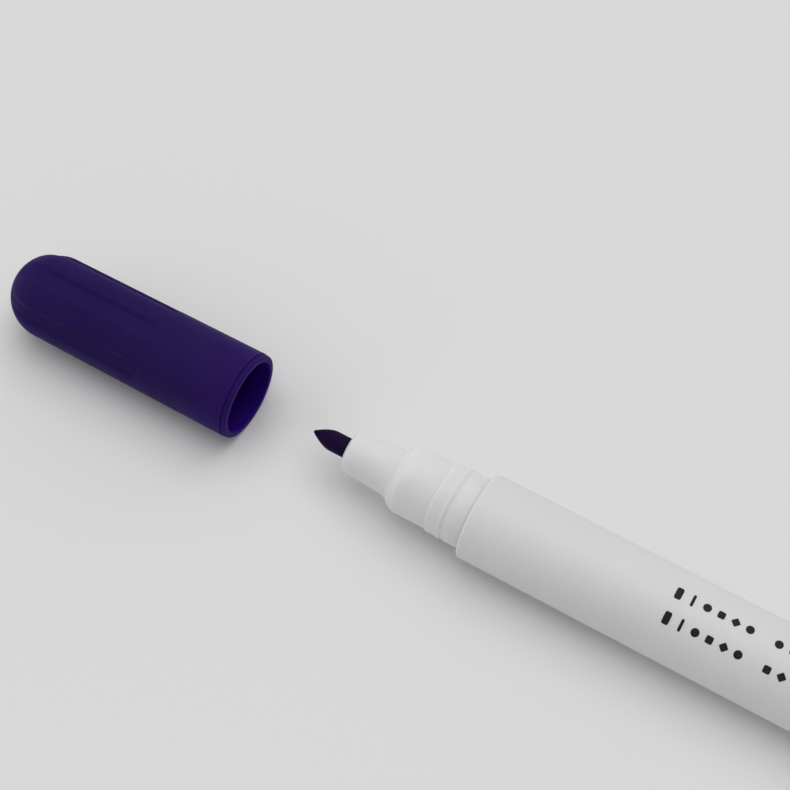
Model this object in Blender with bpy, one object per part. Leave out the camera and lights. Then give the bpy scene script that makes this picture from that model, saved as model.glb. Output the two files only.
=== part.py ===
"""Capped fibre-tip marking pen, lying level along X with its cap pulled off in front of it.

Nib towards -X, tail towards +X, +Z up.  The origin is under the middle of the whole
arrangement, on the plane the pen lies on.  Lengths are metres; MM converts millimetres.
"""
import math

import bmesh
import bpy
from mathutils import Matrix, Vector

MM = 0.001
SEGMENTS = 48                 # facets round every turned piece
FILLET_STEPS = 3              # facets in every rounded corner
FIT = 0.08                    # clearance of a pressed-in piece, mm
LEAD_IN = 0.6                 # length of the taper that starts a pressed-in piece
LEAD_DEPTH = 0.15

# Positions along the pen, mm, measured from the edge where the barrel reaches full width.
CAP_OFF = 31.2                # cap mouth, ahead of the barrel edge, as it lies
CAP_LENGTH = 33.6
PEN_LENGTH = 106.4            # barrel edge to tail
CENTRE = (PEN_LENGTH - CAP_OFF - CAP_LENGTH) / 2.0

# Barrel
BARREL_R = 5.3
BARREL_BORE_R = 4.45
BARREL_NECK_R = 4.35          # narrower bore at each end, where a piece is pressed in
BARREL_NECK_LENGTH = 10.0
BARREL_NECK_TAPER = 0.3
BARREL_FACE = -0.5            # flat front face
BARREL_REAR = 98.0
BARREL_ROUND = 0.5
BARREL_REAR_ROUND = 0.2

# Front section: the moulded piece that carries the nib
SPIGOT_R = BARREL_NECK_R - FIT
SPIGOT_END = 9.0
LAND_R = 4.42
LAND_START = -2.55
GROOVE_X = -2.9
GROOVE_R = 4.26
BEAD_X = -3.3                 # crest of the snap bead
BEAD_R = 4.47
BEAD_HALF = 0.4
COLLAR_R = 4.34               # low collar between the seat and the bead
COLLAR_START = -4.95
COLLAR_RISE = 0.2
SEAT_R = 4.15
SEAT_FRONT = -9.5
SEAT_ROUND = 0.5
SHOULDER_X = -10.25
SHOULDER_R = 3.80
NOSE_ROOT_X = -11.0
NOSE_ROOT_R = 3.14
NOSE_BACK = -11.9
NOSE_BACK_R = 2.94
NOSE_ROUND = 0.3
NOSE_FRONT = -16.1
NOSE_FRONT_R = 2.67
NOSE_EDGE = -16.95
NOSE_EDGE_R = 2.45
NOSE_FACE = -17.3
NOSE_FACE_R = 1.95
NOSE_FACE_ROUND = 0.15
FINE_ROUND = 0.1
NIB_BORE_R = 1.33
SOCKET_R = 3.88               # holds either end of the reservoir
SOCKET_START = 0.6

# Nib: a round bullet of bonded fibre
NIB_R = 1.25
NIB_TIP = -22.2
NIB_OGIVE = 2.6
NIB_OGIVE_STEPS = 6
NIB_OGIVE_POWER = 1.6
NIB_POINT_R = 0.16
NIB_POINT_DROP = 0.06
NIB_TAIL = 6.0
NIB_TAIL_R = 0.7
NIB_TAIL_TAPER = 1.0

# Ink reservoir and the film round it
RESERVOIR_R = 3.62
RESERVOIR_START = 0.9
RESERVOIR_END = 92.0
RESERVOIR_HOLE = 5.6
FILM_INNER_R = 3.68
FILM_OUTER_R = 3.80
FILM_SHORT = 0.3              # how far the film stops short of each end

# End plug
PLUG_R = 5.5
PLUG_FACE_R = 3.4
PLUG_EDGE_R = 5.05
PLUG_EDGE = 1.0               # lengths back from the tail
PLUG_CROWN = 3.4
PLUG_ROUNDS = (0.6, 1.2, 1.5, 0.25)
PLUG_SPIGOT_START = 88.0
PLUG_SOCKET_END = 94.0

# Cap; its own lengths run from the mouth towards the dome
CAP_MOUTH_R = 5.5
CAP_DOME_R = 5.36
CAP_BORE_R = 4.62
CAP_MOUTH_ROUND = 0.3
CAP_LIP_R = 5.44              # lip round the mouth, set off by a fine groove
CAP_LIP = 0.5
CAP_LIP_STEP = 0.1
CAP_LIP_GROOVE_R = 5.31
CAP_LIP_GROOVE = 0.12
CAP_SNAP_R = 4.54
CAP_SNAP_X = 5.6
CAP_SNAP_HALF = 0.35
CAP_STEP_X = 20.4             # where the bore narrows and the seal cup stops
CAP_BORE_DRAFT = 0.04
CAP_STEP_R = 4.2
CAP_INNER_DOME_R = 4.1
CAP_CROWN = 1.1
DOME_STEPS = 8
INNER_DOME_STEPS = 4

# Flutes down the cap
FLUTES = 6
FLUTE_ROLL_DEG = 4.3          # how far the cap lies rolled towards -Y
FLUTE_WIDTH = 2.9
FLUTE_DEPTH = 0.42
FLUTE_START = 12.0
FLUTE_FADE_DEG = 48.0
FLUTE_FADE_STEPS = 5
FLUTE_LIFT = 0.1              # how far each flute has lifted out of the dome at its end
CUTTER_ARC_DEG = 40.0         # half the arc of the bar that cuts a flute; its back is flat
CUTTER_SIDES = 16
CUTTER_END_STEPS = 6

# Inner seal of the cap
SEAL_BORE_R = 3.06
SEAL_TUBE_R = 3.85
SEAL_END_R = 3.55
SEAL_START = 11.8
SEAL_END = 25.2
SEAL_FLOOR = 1.0
SEAL_COLLAR_START = 17.6
SEAL_MOUTH_ROUND = 0.25
SEAL_END_ROUND = 0.4

# The widest pieces rest on a facet, so the axis stands at their facet height.
AXIS_Z = PLUG_R * math.cos(math.pi / SEGMENTS)


def plastic(name, colour, roughness):
    mat = bpy.data.materials.new(name)
    mat.use_nodes = True
    shader = mat.node_tree.nodes["Principled BSDF"]
    shader.inputs["Base Color"].default_value = (*colour, 1.0)
    shader.inputs["Roughness"].default_value = roughness
    shader.inputs["Metallic"].default_value = 0.0
    mat.diffuse_color = (*colour, 1.0)
    return mat


def rounded(corners):
    """Profile points from (radius, length, fillet) corners, each fillet turned into an arc."""
    points = []
    last = len(corners) - 1
    for i, (r, x, fillet) in enumerate(corners):
        if fillet <= 0.0 or i in (0, last):
            points.append((r, x))
            continue
        before = corners[i - 1]
        after = corners[i + 1]
        ax, ay = before[0] - r, before[1] - x
        bx, by = after[0] - r, after[1] - x
        la, lb = math.hypot(ax, ay), math.hypot(bx, by)
        ax, ay, bx, by = ax / la, ay / la, bx / lb, by / lb
        half = 0.5 * math.acos(max(-1.0, min(1.0, ax * bx + ay * by)))
        reach = min(fillet / math.tan(half), 0.49 * la, 0.49 * lb)
        radius = reach * math.tan(half)
        mx, my = ax + bx, ay + by
        lm = math.hypot(mx, my)
        cx = r + mx / lm * radius / math.sin(half)
        cy = x + my / lm * radius / math.sin(half)
        start = math.atan2(x + ay * reach - cy, r + ax * reach - cx)
        sweep = math.atan2(x + by * reach - cy, r + bx * reach - cx) - start
        sweep = (sweep + math.pi) % (2.0 * math.pi) - math.pi
        for step in range(FILLET_STEPS + 1):
            angle = start + sweep * step / FILLET_STEPS
            points.append((cx + radius * math.cos(angle), cy + radius * math.sin(angle)))
    return points


def place(obj, x, phase=0.0):
    """Lay a piece made about its own Z along the pen's axis, its own X facing down."""
    lay = Matrix.Rotation(math.radians(90.0), 4, "Y")
    turn = Matrix.Rotation(phase, 4, "Z")
    shift = Matrix.Translation(((x - CENTRE) * MM, 0.0, AXIS_Z * MM))
    obj.matrix_world = shift @ lay @ turn


def carry(carrier, obj):
    """Parent a piece to the one that carries it, leaving it where it is."""
    obj.parent = carrier
    obj.matrix_parent_inverse = carrier.matrix_world.inverted()
    return obj


def turned(name, outline, mat, x=0.0, closed=False):
    """A turned piece: the outline (radius, length) in mm, spun about the pen's axis.

    The outline runs down the outer side from the tail end to the nib end, so faces point out.
    """
    mesh = bpy.data.meshes.new(name)
    verts = [(r * MM, 0.0, z * MM) for r, z in outline]
    edges = [(i, i + 1) for i in range(len(verts) - 1)]
    if closed:
        edges.append((len(verts) - 1, 0))
    mesh.from_pydata(verts, edges, [])
    obj = bpy.data.objects.new(name, mesh)
    bpy.context.scene.collection.objects.link(obj)
    obj.data.materials.append(mat)
    spin = obj.modifiers.new("spin", "SCREW")
    spin.axis = "Z"
    spin.angle = 2.0 * math.pi
    spin.steps = SEGMENTS
    spin.render_steps = SEGMENTS
    spin.use_merge_vertices = True
    spin.merge_threshold = 0.00001
    spin.use_smooth_shade = True
    obj.modifiers.new("shading", "WEIGHTED_NORMAL")
    # Half a facet round, so that the piece has a facet and not an edge underneath.
    place(obj, x, math.pi / SEGMENTS)
    return obj


def build_barrel(mat):
    front_neck = BARREL_FACE + BARREL_NECK_LENGTH
    rear_neck = BARREL_REAR - BARREL_NECK_LENGTH
    outline = rounded([
        (BARREL_NECK_R, BARREL_REAR, 0.0),
        (BARREL_R, BARREL_REAR, BARREL_REAR_ROUND),
        (BARREL_R, BARREL_FACE, BARREL_ROUND),
        (BARREL_NECK_R, BARREL_FACE, 0.0),
        (BARREL_NECK_R, front_neck, 0.0),
        (BARREL_BORE_R, front_neck + BARREL_NECK_TAPER, 0.0),
        (BARREL_BORE_R, rear_neck - BARREL_NECK_TAPER, 0.0),
        (BARREL_NECK_R, rear_neck, 0.0),
    ])
    return turned("barrel", outline, mat, closed=True)


def build_front_section(mat):
    shoulder = BARREL_FACE - FIT
    outline = rounded([
        (SOCKET_R, SPIGOT_END, 0.0),
        (SPIGOT_R - LEAD_DEPTH, SPIGOT_END, 0.0),
        (SPIGOT_R, SPIGOT_END - LEAD_IN, 0.0),
        (SPIGOT_R, shoulder, 0.0),
        (LAND_R, shoulder, 0.0),
        (LAND_R, LAND_START, FINE_ROUND),
        (GROOVE_R, GROOVE_X, FINE_ROUND),
        (BEAD_R, BEAD_X, NOSE_FACE_ROUND),
        (COLLAR_R, BEAD_X - BEAD_HALF, 0.0),
        (COLLAR_R, COLLAR_START, FINE_ROUND),
        (SEAT_R, COLLAR_START - COLLAR_RISE, 0.0),
        (SEAT_R, SEAT_FRONT, SEAT_ROUND),
        (SHOULDER_R, SHOULDER_X, NOSE_ROUND),
        (NOSE_ROOT_R, NOSE_ROOT_X, NOSE_ROUND),
        (NOSE_BACK_R, NOSE_BACK, NOSE_ROUND),
        (NOSE_FRONT_R, NOSE_FRONT, NOSE_ROUND),
        (NOSE_EDGE_R, NOSE_EDGE, NOSE_ROUND),
        (NOSE_FACE_R, NOSE_FACE, NOSE_FACE_ROUND),
        (NIB_BORE_R, NOSE_FACE, 0.0),
        (NIB_BORE_R, SOCKET_START, 0.0),
        (SOCKET_R, SOCKET_START, 0.0),
    ])
    return turned("front_section", outline, mat, closed=True)


def build_nib(mat):
    ogive_start = NIB_TIP + NIB_OGIVE
    outline = [
        (0.0, NIB_TAIL),
        (NIB_TAIL_R, NIB_TAIL),
        (NIB_R, NIB_TAIL - NIB_TAIL_TAPER),
        (NIB_R, ogive_start),
    ]
    for step in range(1, NIB_OGIVE_STEPS + 1):
        t = step / NIB_OGIVE_STEPS
        radius = NIB_R - (NIB_R - NIB_POINT_R) * t ** NIB_OGIVE_POWER
        outline.append((radius, ogive_start - t * (NIB_OGIVE - NIB_POINT_DROP)))
    outline.append((0.0, NIB_TIP))
    return turned("nib", outline, mat)


def build_reservoir(mat):
    hole_end = RESERVOIR_START + RESERVOIR_HOLE
    outline = [
        (0.0, RESERVOIR_END),
        (RESERVOIR_R, RESERVOIR_END),
        (RESERVOIR_R, RESERVOIR_START),
        (NIB_BORE_R, RESERVOIR_START),
        (NIB_BORE_R, hole_end),
        (0.0, hole_end),
    ]
    return turned("reservoir", outline, mat)


def build_film(mat):
    rear = RESERVOIR_END - FILM_SHORT
    front = RESERVOIR_START + FILM_SHORT
    outline = [
        (FILM_INNER_R, rear),
        (FILM_OUTER_R, rear),
        (FILM_OUTER_R, front),
        (FILM_INNER_R, front),
    ]
    return turned("reservoir_film", outline, mat, closed=True)


def build_plug(mat):
    head = BARREL_REAR + FIT
    face_round, edge_round, crown_round, rim_round = PLUG_ROUNDS
    outline = rounded([
        (0.0, PEN_LENGTH, 0.0),
        (PLUG_FACE_R, PEN_LENGTH, face_round),
        (PLUG_EDGE_R, PEN_LENGTH - PLUG_EDGE, edge_round),
        (PLUG_R, PEN_LENGTH - PLUG_CROWN, crown_round),
        (PLUG_R, head, rim_round),
        (SPIGOT_R, head, 0.0),
        (SPIGOT_R, PLUG_SPIGOT_START + LEAD_IN, 0.0),
        (SPIGOT_R - LEAD_DEPTH, PLUG_SPIGOT_START, 0.0),
        (SOCKET_R, PLUG_SPIGOT_START, 0.0),
        (SOCKET_R, PLUG_SOCKET_END, 0.0),
        (0.0, PLUG_SOCKET_END, 0.0),
    ])
    return turned("end_plug", outline, mat)


def dome(radius, length, steps):
    """Points of a quarter circle whose pole is at -length, from its rim down to the pole."""
    points = []
    for step in range(steps + 1):
        angle = 0.5 * math.pi * step / steps
        points.append((radius * math.cos(angle), radius - length - radius * math.sin(angle)))
    points[-1] = (0.0, -length)
    return points


def cap_outer_radius(s):
    return CAP_MOUTH_R + (CAP_DOME_R - CAP_MOUTH_R) * s / (CAP_LENGTH - CAP_DOME_R)


def build_cap(mat):
    """The cap's own zero is its mouth; the dome lies towards negative lengths.

    The outline goes from the crown's inner face up the bore, round the mouth and down outside.
    """
    bore = list(reversed(dome(CAP_INNER_DOME_R, CAP_LENGTH - CAP_CROWN, INNER_DOME_STEPS)))
    middle = rounded([
        (CAP_STEP_R, -CAP_STEP_X, 0.0),
        (CAP_BORE_R - CAP_BORE_DRAFT, -CAP_STEP_X, 0.0),
        (CAP_BORE_R, -CAP_SNAP_X - 2.0 * CAP_SNAP_HALF, 0.0),
        (CAP_SNAP_R, -CAP_SNAP_X - CAP_SNAP_HALF, 0.0),
        (CAP_SNAP_R, -CAP_SNAP_X + CAP_SNAP_HALF, 0.0),
        (CAP_BORE_R, -CAP_SNAP_X + 2.0 * CAP_SNAP_HALF, 0.0),
        (CAP_BORE_R, 0.0, CAP_MOUTH_ROUND),
        (CAP_LIP_R, 0.0, CAP_MOUTH_ROUND),
        (CAP_LIP_R, -CAP_LIP, 0.0),
        (CAP_LIP_GROOVE_R, -CAP_LIP, 0.0),
        (CAP_LIP_GROOVE_R, -CAP_LIP - CAP_LIP_GROOVE, 0.0),
        (CAP_MOUTH_R, -CAP_LIP - CAP_LIP_GROOVE - CAP_LIP_STEP, 0.0),
    ])
    outline = bore + middle + dome(CAP_DOME_R, CAP_LENGTH, DOME_STEPS)
    return turned("cap", outline, mat, x=-CAP_OFF)


def cutter_radius():
    """Radius of the round bar that leaves a flute of the given width and depth on the cap."""
    floor_r = CAP_MOUTH_R - FLUTE_DEPTH
    edge_r = CAP_MOUTH_R * math.cos(0.5 * FLUTE_WIDTH / CAP_MOUTH_R)
    square = CAP_MOUTH_R * CAP_MOUTH_R + floor_r * floor_r - 2.0 * floor_r * edge_r
    return square / (2.0 * (edge_r - floor_r))


def cutter_path():
    """Stations of a bar (length from the mouth, axis radius, tilt, bar radius), rounded end first."""
    bar = cutter_radius()
    dome_start = CAP_LENGTH - CAP_DOME_R
    first = FLUTE_START + math.sqrt(FLUTE_DEPTH * (2.0 * bar - FLUTE_DEPTH))
    first_r = cap_outer_radius(first) + bar - FLUTE_DEPTH
    path = []
    for step in range(CUTTER_END_STEPS + 1):
        angle = math.radians(CUTTER_ARC_DEG) * (1.0 - step / CUTTER_END_STEPS)
        path.append((first - bar * math.sin(angle), first_r, 0.0, bar * math.cos(angle)))
    for step in range(FLUTE_FADE_STEPS + 1):
        t = step / FLUTE_FADE_STEPS
        tilt = math.radians(FLUTE_FADE_DEG) * t
        reach = CAP_DOME_R + bar - FLUTE_DEPTH + (FLUTE_DEPTH + FLUTE_LIFT) * t * t
        path.append((dome_start + reach * math.sin(tilt), reach * math.cos(tilt), tilt, bar))
    return path


def flute_cutter(name, mat, turn):
    """A bent bar in the cap's own frame, turned by turn; only its cutting side is round."""
    bm = bmesh.new()
    loops = []
    for s, r, tilt, size in cutter_path():
        loop = []
        for side in range(CUTTER_SIDES + 1):
            angle = math.radians(CUTTER_ARC_DEG) * (2.0 * side / CUTTER_SIDES - 1.0)
            out = -size * math.cos(angle)
            across = size * math.sin(angle)
            point = Vector((r + out * math.cos(tilt), across, -s - out * math.sin(tilt)))
            loop.append(bm.verts.new(turn @ (point * MM)))
        loops.append(loop)
    count = CUTTER_SIDES + 1
    for a, b in zip(loops, loops[1:]):
        for i in range(count):
            j = (i + 1) % count
            bm.faces.new((a[i], a[j], b[j], b[i]))
    bm.faces.new(loops[0])
    bm.faces.new(loops[-1])
    bmesh.ops.recalc_face_normals(bm, faces=bm.faces)
    mesh = bpy.data.meshes.new(name)
    bm.to_mesh(mesh)
    bm.free()
    mesh.shade_smooth()
    cutter = bpy.data.objects.new(name, mesh)
    bpy.context.scene.collection.objects.link(cutter)
    cutter.data.materials.append(mat)
    cutter.hide_render = True
    cutter.display_type = "WIRE"
    place(cutter, -CAP_OFF)
    return cutter


def carve_flutes(cap, mat):
    """Cut the flutes, evenly spaced, one of them near the top."""
    roll = math.radians(FLUTE_ROLL_DEG)
    for flute in range(FLUTES):
        turn = Matrix.Rotation(roll + 2.0 * math.pi * flute / FLUTES, 4, "Z")
        cutter = carry(cap, flute_cutter("flute_cutter_%d" % (flute + 1), mat, turn))
        carve = cap.modifiers.new("flute_%d" % (flute + 1), "BOOLEAN")
        carve.operation = "DIFFERENCE"
        carve.solver = "EXACT"
        carve.object = cutter


def build_liner(mat, cap):
    """Inner seal cup, open towards the mouth; same zero as the cap, which carries it."""
    collar_r = CAP_BORE_R - CAP_BORE_DRAFT - FIT
    collar_end = CAP_STEP_X - FIT
    outline = rounded([
        (0.0, -SEAL_END + SEAL_FLOOR, 0.0),
        (SEAL_BORE_R, -SEAL_END + SEAL_FLOOR, 0.0),
        (SEAL_BORE_R, -SEAL_START, SEAL_MOUTH_ROUND),
        (SEAL_TUBE_R, -SEAL_START, SEAL_MOUTH_ROUND),
        (SEAL_TUBE_R, -SEAL_COLLAR_START, 0.0),
        (collar_r, -SEAL_COLLAR_START, 0.0),
        (collar_r, -collar_end, 0.0),
        (SEAL_TUBE_R, -collar_end, 0.0),
        (SEAL_END_R, -SEAL_END, SEAL_END_ROUND),
        (0.0, -SEAL_END, 0.0),
    ])
    return carry(cap, turned("cap_liner", outline, mat, x=-CAP_OFF))


for existing in list(bpy.data.objects):
    bpy.data.objects.remove(existing, do_unlink=True)

white = plastic("barrel_white", (0.78, 0.79, 0.80), 0.42)
natural = plastic("section_natural", (0.72, 0.72, 0.69), 0.45)
cap_violet = plastic("cap_violet", (0.018, 0.011, 0.072), 0.38)
plug_violet = plastic("plug_violet", (0.018, 0.011, 0.072), 0.38)
nib_fibre = plastic("nib_fibre", (0.014, 0.003, 0.032), 0.85)
ink_fibre = plastic("reservoir_fibre", (0.10, 0.02, 0.22), 0.9)
film_clear = plastic("film_clear", (0.85, 0.85, 0.87), 0.2)
seal_natural = plastic("seal_natural", (0.70, 0.70, 0.68), 0.45)

build_barrel(white)
build_front_section(natural)
build_nib(nib_fibre)
build_reservoir(ink_fibre)
build_film(film_clear)
build_plug(plug_violet)
pen_cap = build_cap(cap_violet)
build_liner(seal_natural, pen_cap)
carve_flutes(pen_cap, cap_violet)
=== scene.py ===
"""Looks of the fabric marking pen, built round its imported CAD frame.

The axes are the frame's own: the pen lies along X with its nib towards -X, and sizes are in
millimetres until MM turns them into metres. Each visible piece is made again with finer facets and
rounder edges than its CAD node. Its place and overall size come from the frame, and every surface
gets a procedural material.
"""
import math

import bmesh
import bpy
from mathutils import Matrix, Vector


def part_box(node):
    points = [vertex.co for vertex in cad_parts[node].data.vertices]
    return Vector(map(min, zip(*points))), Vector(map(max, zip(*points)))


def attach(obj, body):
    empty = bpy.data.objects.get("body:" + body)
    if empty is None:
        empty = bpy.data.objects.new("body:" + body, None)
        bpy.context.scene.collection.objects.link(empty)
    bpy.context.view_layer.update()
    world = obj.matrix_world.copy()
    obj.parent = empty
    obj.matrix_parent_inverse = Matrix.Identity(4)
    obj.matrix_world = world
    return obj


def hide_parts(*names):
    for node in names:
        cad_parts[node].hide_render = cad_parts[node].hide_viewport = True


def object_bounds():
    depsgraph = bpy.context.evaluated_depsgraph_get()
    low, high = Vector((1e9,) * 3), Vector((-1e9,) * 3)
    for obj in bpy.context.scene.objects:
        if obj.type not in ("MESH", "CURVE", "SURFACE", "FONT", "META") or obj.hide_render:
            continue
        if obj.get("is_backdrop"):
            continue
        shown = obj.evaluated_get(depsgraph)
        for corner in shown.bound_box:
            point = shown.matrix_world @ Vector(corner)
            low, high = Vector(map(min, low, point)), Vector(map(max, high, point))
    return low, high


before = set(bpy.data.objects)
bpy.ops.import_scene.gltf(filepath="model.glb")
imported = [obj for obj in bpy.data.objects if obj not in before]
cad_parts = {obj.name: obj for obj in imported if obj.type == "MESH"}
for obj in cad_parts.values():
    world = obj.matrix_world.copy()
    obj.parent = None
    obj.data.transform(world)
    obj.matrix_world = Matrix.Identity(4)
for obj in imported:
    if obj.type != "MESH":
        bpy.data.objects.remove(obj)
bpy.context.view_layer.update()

MM = 0.001
CAD_FACETS = 48                       # facets of the turned CAD pieces
FINE = 192                            # facets of the pieces made here
FACET = math.cos(math.pi / CAD_FACETS)
SHARP = math.radians(40.0)            # edges sharper than this aren't smoothed


# ---------------------------------------------------------------- places and sizes from the frame

def span(node):
    """(lowest x, highest x) of a CAD node in millimetres."""
    low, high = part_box(node)
    return low.x / MM, high.x / MM


def radius(node):
    """Largest radius of a turned CAD node in millimetres."""
    low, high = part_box(node)
    return 0.5 * (high.y - low.y) / MM / FACET


AXIS_Z = 0.5 * (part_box("barrel")[0].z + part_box("barrel")[1].z) / MM
BARREL_X, BARREL_END = span("barrel")
BARREL_R = radius("barrel")
NOSE_X, SPIGOT_END = span("front_section")
BEAD_RISE = 0.05                      # how far the snap bead stands above the land
LAND_R = radius("front_section") - BEAD_RISE
NIB_X, NIB_END = span("nib")
NIB_R = radius("nib")
CAP_DOME_X, CAP_MOUTH_X = span("cap")
CAP_R = radius("cap")
CAP_LENGTH = CAP_MOUTH_X - CAP_DOME_X
PLUG_START, TAIL_X = span("end_plug")
PLUG_R = radius("end_plug")

FACE_ROUND = 0.5                      # rounding of the barrel's front face
EDGE_X = BARREL_X + FACE_ROUND        # where the barrel reaches its full radius
BARREL_BORE_R = 4.35                  # bore of the barrel where a piece is pressed in
BARREL_RELIEF_R = 4.45                # wider bore between those two stretches
SEAT_LENGTH = 10.0                    # length of each such stretch
PRESSED_R = 4.27                      # outside of the pieces pressed into the barrel
PRESSED_BORE_R = 3.88                 # and their bore
NIB_HOLE_R = 1.33


# ---------------------------------------------------------------- meshes

def fillet(corners, steps=6):
    """Points (x, r) of an outline whose corners (x, r, fillet radius) are rounded with arcs."""
    points = []
    for i, (x, r, size) in enumerate(corners):
        if size <= 0.0 or i in (0, len(corners) - 1):
            points.append((x, r))
            continue
        here = Vector((x, r))
        back = Vector(corners[i - 1][:2]) - here
        ahead = Vector(corners[i + 1][:2]) - here
        half = 0.5 * back.angle(ahead)
        longest = 0.49 * min(back.length, ahead.length)
        reach = min(size / math.tan(half), longest)
        centre = here + (back.normalized() + ahead.normalized()).normalized() * reach / math.cos(half)
        a = here + back.normalized() * reach - centre
        b = here + ahead.normalized() * reach - centre
        turn = math.atan2(a.x * b.y - a.y * b.x, a.dot(b))
        for step in range(steps + 1):
            angle = turn * step / steps
            c, s = math.cos(angle), math.sin(angle)
            points.append((centre.x + a.x * c - a.y * s, centre.y + a.x * s + a.y * c))
    return points


def turned(name, outline, closed=False, facets=FINE):
    """A piece turned about the pen's axis from (x, r) points in millimetres, nib end first."""
    bm = bmesh.new()
    rings = []
    for x, r in outline:
        if r < 1e-6:
            rings.append([bm.verts.new((x * MM, 0.0, AXIS_Z * MM))])
            continue
        ring = []
        for i in range(facets):
            angle = 2.0 * math.pi * i / facets
            y, z = r * math.sin(angle), AXIS_Z + r * math.cos(angle)
            ring.append(bm.verts.new((x * MM, y * MM, z * MM)))
        rings.append(ring)
    if closed:
        rings.append(rings[0])
    return skinned(name, bm, rings)


def skinned(name, bm, rings):
    """The object whose skin joins each ring of points, or single point, to the next."""
    count = max(len(ring) for ring in rings)
    for a, b in zip(rings, rings[1:]):
        for i in range(count):
            j = (i + 1) % count
            if len(a) == 1:
                bm.faces.new((a[0], b[i], b[j]))
            elif len(b) == 1:
                bm.faces.new((a[j], a[i], b[0]))
            else:
                bm.faces.new((a[i], b[i], b[j], a[j]))
    return finished(name, bm)


def finished(name, bm):
    """The object of a bmesh, smooth but for its sharp edges."""
    bmesh.ops.recalc_face_normals(bm, faces=bm.faces)
    mesh = bpy.data.meshes.new(name)
    bm.to_mesh(mesh)
    bm.free()
    mesh.shade_smooth()
    mesh.set_sharp_from_angle(angle=SHARP)
    obj = bpy.data.objects.new(name, mesh)
    bpy.context.scene.collection.objects.link(obj)
    return obj


def settle(obj, body, slot, material, *nodes):
    """Give a piece its material and its place in the frame."""
    obj.data.materials.append(material)
    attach(obj, body)
    if nodes:
        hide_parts(*nodes)


# ---------------------------------------------------------------- materials

def new_material(name):
    """A new material with its node tree and its Principled shader."""
    mat = bpy.data.materials.new(name)
    mat.use_nodes = True
    tree = mat.node_tree
    shader = tree.nodes["Principled BSDF"]
    return mat, tree, shader


def noise(tree, scale, detail, stretch=(1.0, 1.0, 1.0)):
    """Noise over the piece's own coordinates; scale is in grains per metre."""
    coords = tree.nodes.new("ShaderNodeTexCoord")
    mapping = tree.nodes.new("ShaderNodeMapping")
    mapping.inputs["Scale"].default_value = stretch
    texture = tree.nodes.new("ShaderNodeTexNoise")
    texture.inputs["Scale"].default_value = scale
    texture.inputs["Detail"].default_value = detail
    tree.links.new(coords.outputs["Object"], mapping.inputs["Vector"])
    tree.links.new(mapping.outputs["Vector"], texture.inputs["Vector"])
    return texture.outputs["Fac"]


def ranged(tree, value, low, high, start=0.3, end=0.7):
    """A value from low to high as the input goes from start to end."""
    node = tree.nodes.new("ShaderNodeMapRange")
    node.inputs["From Min"].default_value = start
    node.inputs["From Max"].default_value = end
    node.inputs["To Min"].default_value = low
    node.inputs["To Max"].default_value = high
    tree.links.new(value, node.inputs["Value"])
    return node.outputs["Result"]


def blended(tree, factor, first, second):
    """A colour between two colours."""
    node = tree.nodes.new("ShaderNodeMix")
    node.data_type = "RGBA"
    node.inputs["A"].default_value = (*first, 1.0)
    node.inputs["B"].default_value = (*second, 1.0)
    tree.links.new(factor, node.inputs["Factor"])
    return node.outputs["Result"]


def laid_over(tree, factor, under, colour):
    """A colour laid over another socket's colour, as far as the factor says."""
    result = blended(tree, factor, colour, colour)
    tree.links.new(under, result.node.inputs["A"])
    return result


def bumped(tree, shader, height, depth):
    """Relief of the given depth in metres."""
    node = tree.nodes.new("ShaderNodeBump")
    node.inputs["Strength"].default_value = 1.0
    node.inputs["Distance"].default_value = depth
    tree.links.new(height, node.inputs["Height"])
    tree.links.new(node.outputs["Normal"], shader.inputs["Normal"])


def srgb(r, g, b):
    """Linear colour from 0 to 255 display values."""
    def linear(v):
        v /= 255.0
        return v / 12.92 if v <= 0.04045 else ((v + 0.055) / 1.055) ** 2.4
    return tuple(linear(v) for v in (r, g, b))


GRAIN = 0.0000015                     # depth of the moulded surface's grain in metres
SCATTER = 0.0012                      # reach of the light under a plastic's surface in metres
VIOLET_GLOW = (0.4, 0.05, 1.0)        # how far red, green and blue light get under violet plastic
VIOLET_FIRST = srgb(37, 22, 80)
VIOLET_SECOND = srgb(40, 25, 84)


def moulded_plastic(name, first, second, roughness, spread, soft=0.0, sheen=0.5,
                    glow=(1.0, 0.95, 0.9)):
    """Satin moulded plastic: faint cloudiness in its colour, uneven gloss and a fine grain."""
    mat, tree, shader = new_material(name)
    cloud = ranged(tree, noise(tree, 90.0, 3.0), 0.0, 1.0)
    tree.links.new(blended(tree, cloud, first, second), shader.inputs["Base Color"])
    gloss = ranged(tree, noise(tree, 260.0, 5.0), roughness - spread, roughness + spread)
    tree.links.new(gloss, shader.inputs["Roughness"])
    bumped(tree, shader, noise(tree, 6000.0, 2.0), GRAIN)
    shader.inputs["IOR"].default_value = 1.49
    shader.inputs["Specular IOR Level"].default_value = sheen
    if soft > 0.0:
        shader.inputs["Subsurface Weight"].default_value = soft
        shader.inputs["Subsurface Radius"].default_value = glow
        shader.inputs["Subsurface Scale"].default_value = SCATTER
    return mat


def violet_plastic(name, roughness):
    """The dark violet of the cap and the plug."""
    return moulded_plastic(name, VIOLET_FIRST, VIOLET_SECOND, roughness, 0.05, soft=0.5,
                           sheen=0.035, glow=VIOLET_GLOW)


BORE_PAINTED_GLOW_R = (4.63, 4.8)             # distances from the axis where the bore's painted glow is full and gone
BORE_PAINTED_GLOW_DEPTH = (22.0, 26.0)        # depths behind the mouth where it is full and gone
MOUTH_PAINTED_GLOW = 0.65                     # how far the colour has turned to a painted glow at the mouth, brighter and more saturated
MOUTH_PAINTED_GLOW_LENGTH = 8.0               # length over which it turns


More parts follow.
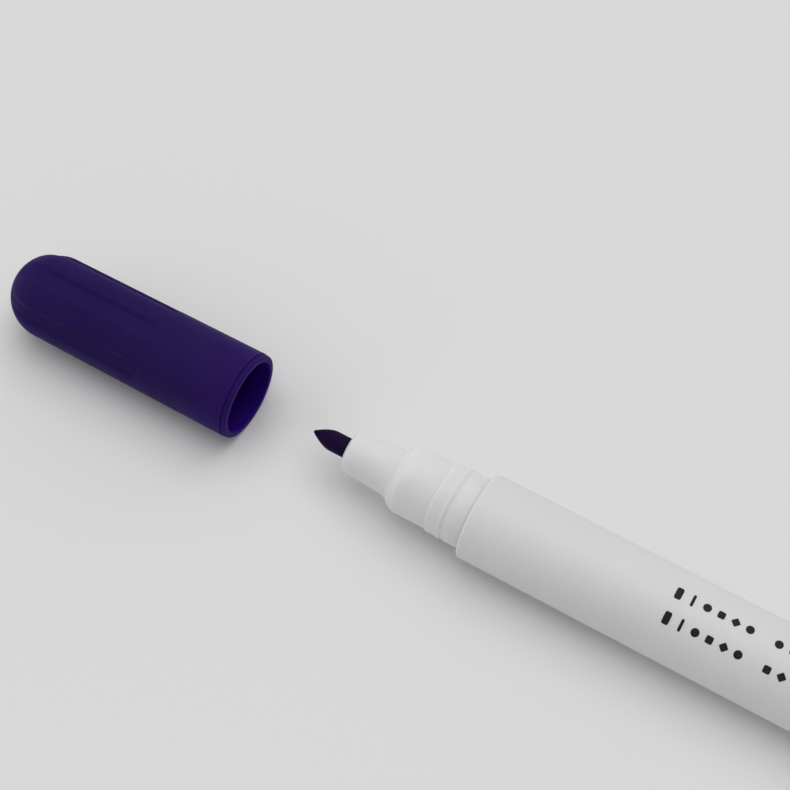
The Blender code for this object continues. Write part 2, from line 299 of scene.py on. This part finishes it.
def away_from_axis(tree, coords):
    """Distance of a point from the pen's axis."""
    lowered = tree.nodes.new("ShaderNodeVectorMath")
    lowered.operation = "SUBTRACT"
    lowered.inputs[1].default_value = (0.0, 0.0, AXIS_Z * MM)
    flat = tree.nodes.new("ShaderNodeVectorMath")
    flat.operation = "MULTIPLY"
    flat.inputs[1].default_value = (0.0, 1.0, 1.0)
    reach = tree.nodes.new("ShaderNodeVectorMath")
    reach.operation = "LENGTH"
    tree.links.new(coords, lowered.inputs[0])
    tree.links.new(lowered.outputs["Vector"], flat.inputs[0])
    tree.links.new(flat.outputs["Vector"], reach.inputs[0])
    return reach.outputs["Value"]


def cap_plastic():
    """The cap's violet, with painted glow: more saturated at the mouth and bluer down the bore,
    standing in for light coming through the wall.
    """
    mat = violet_plastic("cap_violet", 0.50)
    tree = mat.node_tree
    shader = tree.nodes["Principled BSDF"]
    outer = shader.inputs["Base Color"].links[0].from_socket
    coords = tree.nodes.new("ShaderNodeTexCoord").outputs["Object"]
    along = tree.nodes.new("ShaderNodeSeparateXYZ")
    tree.links.new(coords, along.inputs["Vector"])
    x = along.outputs["X"]
    full, gone = BORE_PAINTED_GLOW_R
    near_axis = ranged(tree, away_from_axis(tree, coords), 1.0, 0.0, full * MM, gone * MM)
    full, gone = BORE_PAINTED_GLOW_DEPTH
    near_mouth = ranged(tree, x, 0.0, 1.0, (CAP_MOUTH_X - gone) * MM, (CAP_MOUTH_X - full) * MM)
    in_bore = tree.nodes.new("ShaderNodeMath")
    in_bore.operation = "MULTIPLY"
    tree.links.new(near_axis, in_bore.inputs[0])
    tree.links.new(near_mouth, in_bore.inputs[1])
    at_mouth = ranged(tree, x, 0.0, MOUTH_PAINTED_GLOW, (CAP_MOUTH_X - MOUTH_PAINTED_GLOW_LENGTH) * MM,
                      CAP_MOUTH_X * MM)
    # painted glow: the colour turns brighter and more saturated towards the mouth, standing in for
    # light coming through the thin wall
    mouth_glow_painted = laid_over(tree, at_mouth, outer, srgb(46, 21, 100))
    # painted glow: bluer colour down the bore near the mouth, standing in for light coming through the
    # wall
    bore_glow_painted = laid_over(tree, in_bore.outputs["Value"], mouth_glow_painted, srgb(42, 10, 116))
    tree.links.new(bore_glow_painted, shader.inputs["Base Color"])
    return mat


def nib_fibre():
    """Bonded fibre, wet with ink: fine strands along the nib, the darker ones a little glossier."""
    mat, tree, shader = new_material("nib_fibre")
    strands = noise(tree, 1400.0, 3.0, stretch=(0.12, 1.0, 1.0))
    tone = ranged(tree, strands, 0.0, 1.0)
    colour = blended(tree, tone, srgb(18, 1, 34), srgb(30, 4, 54))
    tree.links.new(colour, shader.inputs["Base Color"])
    tree.links.new(ranged(tree, strands, 0.5, 0.75), shader.inputs["Roughness"])
    bumped(tree, shader, strands, 0.00002)
    shader.inputs["IOR"].default_value = 1.45
    shader.inputs["Specular IOR Level"].default_value = 0.09
    return mat


def ink_fibre():
    """Soaked fibre bundle of the reservoir."""
    mat, tree, shader = new_material("reservoir_fibre")
    strands = noise(tree, 900.0, 4.0, stretch=(0.05, 1.0, 1.0))
    tone = ranged(tree, strands, 0.0, 1.0)
    colour = blended(tree, tone, srgb(66, 30, 110), srgb(112, 74, 160))
    tree.links.new(colour, shader.inputs["Base Color"])
    shader.inputs["Roughness"].default_value = 0.85
    bumped(tree, shader, strands, 0.00005)
    return mat


def film():
    """Thin wrapping film of the reservoir."""
    mat, tree, shader = new_material("film_clear")
    cloud = ranged(tree, noise(tree, 150.0, 2.0), 0.0, 1.0)
    colour = blended(tree, cloud, srgb(222, 222, 226), srgb(236, 236, 238))
    tree.links.new(colour, shader.inputs["Base Color"])
    tree.links.new(ranged(tree, noise(tree, 700.0, 3.0), 0.12, 0.28), shader.inputs["Roughness"])
    shader.inputs["Transmission Weight"].default_value = 0.7
    shader.inputs["IOR"].default_value = 1.5
    return mat


def print_ink():
    """Matt black pad-printing ink, a little thin in places."""
    mat, tree, shader = new_material("print_ink")
    thin = ranged(tree, noise(tree, 5000.0, 3.0), 0.0, 1.0, 0.35, 0.85)
    tree.links.new(blended(tree, thin, srgb(26, 24, 30), srgb(48, 45, 54)),
                   shader.inputs["Base Color"])
    shader.inputs["Roughness"].default_value = 0.55
    shader.inputs["Specular IOR Level"].default_value = 0.15
    bumped(tree, shader, noise(tree, 9000.0, 2.0), 0.000002)
    return mat


def table_top():
    """Plain matt pale table."""
    mat, _, shader = new_material("table_top")
    shader.inputs["Base Color"].default_value = (0.80, 0.80, 0.802, 1.0)
    shader.inputs["Roughness"].default_value = 0.9
    shader.inputs["Specular IOR Level"].default_value = 0.1
    return mat


WHITE = moulded_plastic("barrel_white", srgb(218, 218, 219), srgb(222, 222, 222), 0.50, 0.04,
                        soft=0.25)
NATURAL = moulded_plastic("section_natural", srgb(221, 221, 221), srgb(225, 225, 225), 0.46, 0.05,
                          soft=1.0, glow=(1.6, 1.5, 1.4))
VIOLET = cap_plastic()
PLUG_VIOLET = violet_plastic("plug_violet", 0.48)
SEAL = moulded_plastic("seal_natural", srgb(228, 228, 222), srgb(234, 234, 230), 0.45, 0.05,
                       soft=0.5)
INK = print_ink()


# ---------------------------------------------------------------- barrel

def barrel():
    """The white tube, from its rounded front face to its tail, and back along the bore."""
    slope = 0.3                       # length of the step between the two bores
    overlap = 0.05                    # how far the face reaches into the land, so no gap shows
    outline = fillet([
        (BARREL_X, LAND_R - overlap, 0.0),
        (BARREL_X, BARREL_R, FACE_ROUND),
        (BARREL_END, BARREL_R, 0.22),
        (BARREL_END, BARREL_BORE_R, 0.0),
        (BARREL_END - SEAT_LENGTH, BARREL_BORE_R, 0.0),
        (BARREL_END - SEAT_LENGTH - slope, BARREL_RELIEF_R, 0.0),
        (BARREL_X + SEAT_LENGTH + slope, BARREL_RELIEF_R, 0.0),
        (BARREL_X + SEAT_LENGTH, BARREL_BORE_R, 0.0),
    ])
    piece = turned("barrel_tube", outline, closed=True)
    settle(piece, "pen", "barrel_white", WHITE, "barrel")


# ---------------------------------------------------------------- printed marks

PRINT_START = EDGE_X + 23.9           # middle of the first mark, behind the barrel's edge
PRINT_PITCH = 1.67                    # from mark to mark, and once more between two groups
PRINT_ROWS = (-5.2, 28.2)             # degrees from the top towards -Y
PRINT_GROUPS = (6, 9, 7, 8)           # marks in each group of a row
INK_LIFT = 0.012                      # how far the ink stands out of the barrel
INK_ROOT = 0.02                       # and how far it reaches in
MARK_SIDES = 32
MARK_RINGS = 4
MARKS = {                             # half length along the pen, half height, power of the outline
    "block": (0.40, 0.74, 5.0),
    "bar": (0.17, 0.74, 5.0),
    "dot": (0.48, 0.50, 2.0),
    "square": (0.42, 0.44, 5.0),
    "diamond": (0.54, 0.56, 1.1),
    "dash": (0.46, 0.17, 4.0),
}
PATTERN = ("block", "bar", "dot", "square", "diamond", "dot", "dash", "square", "dot")


def mark(bm, shape, x, turn):
    """A spot of ink on the barrel, its outline a rounded square or oblong, a disc or a diamond."""
    wide, high, power = MARKS[shape]

    def point(scale, step, r):
        angle = 2.0 * math.pi * step / MARK_SIDES
        c, s = math.cos(angle), math.sin(angle)
        along = wide * scale * math.copysign(abs(c) ** (2.0 / power), c)
        arc = high * scale * math.copysign(abs(s) ** (2.0 / power), s)
        bearing = math.radians(turn) + arc / BARREL_R
        return bm.verts.new(((x + along) * MM, -r * math.sin(bearing) * MM,
                             (AXIS_Z + r * math.cos(bearing)) * MM))

    top, root = BARREL_R + INK_LIFT, BARREL_R - INK_ROOT
    loops = [(i / MARK_RINGS, top) for i in range(1, MARK_RINGS + 1)]
    loops += [(i / MARK_RINGS, root) for i in range(MARK_RINGS, 0, -1)]
    made = [[point(scale, step, r) for step in range(MARK_SIDES)] for scale, r in loops]
    first, last = point(0.0, 0, top), point(0.0, 0, root)
    for i in range(MARK_SIDES):
        j = (i + 1) % MARK_SIDES
        bm.faces.new((first, made[0][i], made[0][j]))
        bm.faces.new((last, made[-1][j], made[-1][i]))
        for a, b in zip(made, made[1:]):
            bm.faces.new((a[i], b[i], b[j], a[j]))


def printed_rows():
    """Two rows of plain marks, where the barrel carries its print."""
    bm = bmesh.new()
    for row, turn in enumerate(PRINT_ROWS):
        x = PRINT_START
        for group, count in enumerate(PRINT_GROUPS):
            for place in range(count):
                mark(bm, PATTERN[(place + (row + 2) * group) % len(PATTERN)], x, turn)
                x += PRINT_PITCH
            x += PRINT_PITCH
    settle(finished("barrel_print", bm), "pen", "barrel_white", INK)


# ---------------------------------------------------------------- front section and nib

NOSE_R = 1.95
NOSE_ROUND = 0.12
SECTION = (                           # distance ahead of the barrel's edge, radius, rounding
    (16.95, 2.45, 0.35),              # nose
    (16.1, 2.67, 0.5),
    (11.9, 2.94, 0.5),
    (11.0, 3.14, 0.4),                # shoulder
    (10.25, 3.80, 0.4),
    (9.5, 4.15, 0.6),                 # seat
    (5.15, 4.17, 0.1),
    (4.95, 4.34, 0.12),               # low collar
    (3.75, 4.36, 0.1),
    (3.3, 4.46, 0.16),                # snap bead
    (2.95, 4.30, 0.1),                # groove
    (2.55, 4.42, 0.12),               # land
    (0.5, 4.42, 0.0),
)
SPIGOT_START = 0.4                    # behind the barrel's edge
SPIGOT_START_R = 4.33
SOCKET_START = 0.6                    # where the nib's hole opens into the spigot's bore


def front_section():
    """Nose, shoulder, seat, low collar, snap bead, groove, land, spigot, and back down the bore."""
    outline = fillet([
        (NOSE_X, NIB_HOLE_R, 0.0),
        (NOSE_X, NOSE_R, NOSE_ROUND),
        *((EDGE_X - ahead, r, rounding) for ahead, r, rounding in SECTION),
        (EDGE_X + SPIGOT_START, SPIGOT_START_R, 0.0),
        (SPIGOT_END, PRESSED_R, 0.0),
        (SPIGOT_END, PRESSED_BORE_R, 0.0),
        (EDGE_X + SOCKET_START, PRESSED_BORE_R, 0.0),
        (EDGE_X + SOCKET_START, NIB_HOLE_R, 0.0),
    ])
    piece = turned("nib_section", outline, closed=True)
    settle(piece, "pen", "section_natural", NATURAL, "front_section")


def nib():
    """The bullet: a blunt tip, an ogive and a plain rod with a tapered tail."""
    tip_length, tip_r = 0.07, 0.17
    ogive, fullness = 2.6, 1.6
    tail_length, tail_r = 1.0, 0.7
    outline = [(NIB_X, 0.0)]
    for step in range(1, 6):
        angle = 0.5 * math.pi * step / 6
        outline.append((NIB_X + tip_length * (1.0 - math.cos(angle)), tip_r * math.sin(angle)))
    for step in range(13):
        t = 1.0 - step / 12.0
        outline.append((NIB_X + ogive - t * (ogive - tip_length),
                        NIB_R - (NIB_R - tip_r) * t ** fullness))
    outline += [(NIB_END - tail_length, NIB_R), (NIB_END, tail_r), (NIB_END, 0.0)]
    settle(turned("nib_bullet", outline, facets=96), "pen", "nib_fibre", nib_fibre(), "nib")


# ---------------------------------------------------------------- cap

FLUTES = 6
FLUTE_ROLL = math.radians(-4.3)       # how far the first flute is turned from the top, towards +Y
FLUTE_WIDTH = 2.9
FLUTE_DEPTH = 0.42
FLUTE_WALL = 0.80                     # width of a flute's sloping wall
FLUTE_START = 12.0                    # from the mouth to a flute's round end
FLUTE_FADE = math.radians(48.0)       # how far up the dome a flute runs out
FLUTE_PITCH = 2.0 * math.pi / FLUTES
DOME_R = 5.36
DOME_STEPS = 48
DOME_WALL = 1.1
INNER_DOME_R = 4.1
CAP_BORE_R = 4.62
SNAP_RIB_R = 4.54
LINER_SEAT = 20.4                     # from the mouth to the step that the seal cup sits on
LIP_R = 5.44
LIP_GROOVE_R = 5.31


def flute_depth(along, tilt, across):
    """Depth of the flutes at a point of the cap: along from the mouth, or tilt up the dome.

    A flute has a flat floor, a short rounded wall at either side and a half round end.
    """
    half = 0.5 * FLUTE_WIDTH
    away = math.hypot(across, min(0.0, along - FLUTE_START - half))
    wall = min(1.0, max(0.0, (half - away) / FLUTE_WALL))
    fade = max(0.0, 1.0 - (tilt / FLUTE_FADE) ** 2)
    floor_depth = FLUTE_DEPTH - 0.5 * across * across / CAP_R
    return floor_depth * fade * wall * wall * (3.0 - 2.0 * wall)


def cap_stations():
    """(along, radius, tilt) down the outside of the cap: along from the mouth, tilt up the dome."""
    dome_start = CAP_LENGTH - DOME_R
    half = 0.5 * FLUTE_WIDTH
    fine_step, plain_steps = 0.07, 14
    lengths = [0.82, 1.2, 3.0, 6.0, 9.0, FLUTE_START - 1.0]
    fine_steps = int((half + 0.5) / fine_step)
    lengths += [FLUTE_START - 0.2 + fine_step * i for i in range(fine_steps)]
    rest = lengths[-1]
    lengths += [rest + (dome_start - rest) * i / plain_steps for i in range(1, plain_steps + 1)]
    stations = []
    for s in lengths:
        stations.append((s, CAP_R + (DOME_R - CAP_R) * s / dome_start, 0.0))
    for step in range(1, DOME_STEPS):
        tilt = 0.5 * math.pi * step / DOME_STEPS
        stations.append((dome_start + DOME_R * math.sin(tilt), DOME_R * math.cos(tilt), tilt))
    return stations


def cap_angles():
    """Angles round the cap, in finer steps across each flute than between two of them."""
    flute_half, fine_step, coarse_step = 16.5, 0.55, 3.0
    fine_steps = round(2.0 * flute_half / fine_step)
    coarse_steps = round((360.0 / FLUTES - 2.0 * flute_half) / coarse_step)
    fine = [math.radians(-flute_half + fine_step * i) for i in range(fine_steps)]
    coarse = [math.radians(flute_half + coarse_step * i) for i in range(coarse_steps)]
    middles = [FLUTE_ROLL + flute * FLUTE_PITCH for flute in range(FLUTES)]
    return [middle + a for middle in middles for a in fine + coarse]


def cap_inside():
    """(x, r) from the inner dome's pole along the bore, round the mouth and over its lip."""
    pole = CAP_DOME_X + DOME_WALL
    dome = [(pole + INNER_DOME_R * (1.0 - math.cos(a)), INNER_DOME_R * math.sin(a))
            for a in (math.radians(v) for v in range(15, 90, 15))]
    return dome + fillet([
        (pole + INNER_DOME_R, INNER_DOME_R, 0.0),
        (CAP_MOUTH_X - LINER_SEAT, 4.2, 0.0),             # step of the seal cup
        (CAP_MOUTH_X - LINER_SEAT, 4.58, 0.0),
        (CAP_MOUTH_X - 6.3, CAP_BORE_R, 0.2),             # snap rib
        (CAP_MOUTH_X - 5.95, SNAP_RIB_R, 0.2),
        (CAP_MOUTH_X - 5.25, SNAP_RIB_R, 0.2),
        (CAP_MOUTH_X - 4.9, CAP_BORE_R, 0.2),
        (CAP_MOUTH_X, CAP_BORE_R, 0.16),                  # mouth
        (CAP_MOUTH_X, 5.40, 0.26),
        (CAP_MOUTH_X - 0.46, LIP_R, 0.06),                # lip
        (CAP_MOUTH_X - 0.52, LIP_GROOVE_R, 0.04),         # fine groove behind it
        (CAP_MOUTH_X - 0.64, LIP_GROOVE_R, 0.04),
        (CAP_MOUTH_X - 0.74, CAP_R, 0.0),                 # start of the outside
    ])


def cap():
    """The fluted shell, one ring of points after another from the inner pole to the outer one."""
    angles = cap_angles()
    bm = bmesh.new()

    def vertex(x, r, angle):
        return bm.verts.new((x * MM, r * math.sin(angle) * MM, (AXIS_Z + r * math.cos(angle)) * MM))

    rings = [[vertex(CAP_DOME_X + DOME_WALL, 0.0, 0.0)]]
    rings += [[vertex(x, r, angle) for angle in angles] for x, r in cap_inside()]
    for along, r, tilt in cap_stations():
        made = []
        for angle in angles:
            flute = round((angle - FLUTE_ROLL) / FLUTE_PITCH)
            off = angle - FLUTE_ROLL - flute * FLUTE_PITCH
            depth = flute_depth(along, tilt, r * off)
            made.append(vertex(CAP_MOUTH_X - along + depth * math.sin(tilt),
                               r - depth * math.cos(tilt), angle))
        rings.append(made)
    rings.append([vertex(CAP_DOME_X, 0.0, 0.0)])
    settle(skinned("cap_shell", bm, rings), "cap", "cap_violet", VIOLET, "cap")


# ---------------------------------------------------------------- end plug

def end_plug():
    """A cup pressed into the barrel, with a rounded head as wide as the cap."""
    head = BARREL_END + 0.08          # a little behind the barrel's end
    cup_depth = 6.0
    outline = fillet([
        (PLUG_START + cup_depth, 0.0, 0.0),
        (PLUG_START + cup_depth, PRESSED_BORE_R, 0.0),
        (PLUG_START, PRESSED_BORE_R, 0.0),
        (PLUG_START, 4.12, 0.0),                          # lead-in
        (PLUG_START + 0.6, PRESSED_R, 0.0),
        (head, PRESSED_R, 0.0),                           # head
        (head, PLUG_R, 0.28),
        (TAIL_X - 3.4, PLUG_R, 1.6),
        (TAIL_X - 1.0, PLUG_R - 0.45, 1.3),
        (TAIL_X, 3.4, 0.7),                               # flat of the tail
        (TAIL_X, 0.0, 0.0),
    ])
    settle(turned("tail_plug", outline), "pen", "plug_violet", PLUG_VIOLET, "end_plug")


def dress(node, material):
    """A CAD node that stays as it is gets its material."""
    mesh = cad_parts[node].data
    mesh.materials.clear()
    mesh.materials.append(material)


barrel()
printed_rows()
front_section()
nib()
cap()
end_plug()
dress("reservoir", ink_fibre())
dress("reservoir_film", film())
dress("cap_liner", SEAL)


# ---------------------------------------------------------------- floor, light and camera

FLOOR_HALF = 8.0                      # metres
SURROUND = 0.27                       # strength of the light from all round
SOFTBOXES = (                         # name, bearing, height and spread in degrees, energy
    ("overhead", 0.0, 77.0, 62.0, 1.42),
    ("backlight", 0.0, 18.0, 80.0, 0.50),
    ("nib_light", 115.0, 22.0, 70.0, 0.80),
)
VIEW_BEARING = 209.894                # bearing and height of the camera in degrees
VIEW_HEIGHT = 61.08
VIEW_DISTANCE = 194.732
VIEW_AHEAD = 16.388                   # the point looked at: this far ahead of the barrel's edge
VIEW_ASIDE = 8.93                     # and this far towards +Y
LENS = 74.61264                       # focal length for a sensor 36 mm wide


def direction(bearing, height):
    """Unit vector at a height above the floor; bearing 0 is +Y, 90 is the nib's side, in degrees."""
    turn, rise = math.radians(bearing), math.radians(height)
    level = math.cos(rise)
    return Vector((-math.sin(turn) * level, math.cos(turn) * level, math.sin(rise)))


def floor():
    """A wide plain table, level with the lowest point of the pen."""
    bm = bmesh.new()
    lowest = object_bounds()[0].z
    half = FLOOR_HALF
    corners = ((-half, -half), (half, -half), (half, half), (-half, half))
    bm.faces.new([bm.verts.new((x, y, lowest)) for x, y in corners])
    obj = finished("floor", bm)
    obj.data.materials.append(table_top())
    obj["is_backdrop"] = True


def light():
    """A pale surround, a very broad light overhead, a low one behind and one on the nib's side."""
    scene = bpy.context.scene
    world = bpy.data.worlds.new("surround")
    world.use_nodes = True
    background = world.node_tree.nodes["Background"]
    background.inputs["Color"].default_value = (1.0, 1.0, 1.0, 1.0)
    background.inputs["Strength"].default_value = SURROUND
    scene.world = world
    for name, bearing, height, spread, energy in SOFTBOXES:
        data = bpy.data.lights.new(name, "SUN")
        data.energy = energy
        data.angle = math.radians(spread)
        lamp = bpy.data.objects.new(name, data)
        lamp.rotation_euler = direction(bearing, height).to_track_quat("Z", "Y").to_euler()
        scene.collection.objects.link(lamp)


def camera():
    """From high on the -Y side, turned about 30 degrees towards the tail, down at the nib."""
    scene = bpy.context.scene
    back = direction(VIEW_BEARING, VIEW_HEIGHT)
    target = Vector((EDGE_X - VIEW_AHEAD, VIEW_ASIDE, AXIS_Z))
    data = bpy.data.cameras.new("camera")
    data.sensor_width = 36.0
    data.lens = LENS
    data.clip_start = 0.005
    data.clip_end = 30.0
    obj = bpy.data.objects.new("camera", data)
    obj.location = (target + back * VIEW_DISTANCE) * MM
    obj.rotation_euler = back.to_track_quat("Z", "Y").to_euler()
    scene.collection.objects.link(obj)
    scene.camera = obj


floor()
light()
camera()
bpy.context.scene.view_settings.view_transform = "Standard"
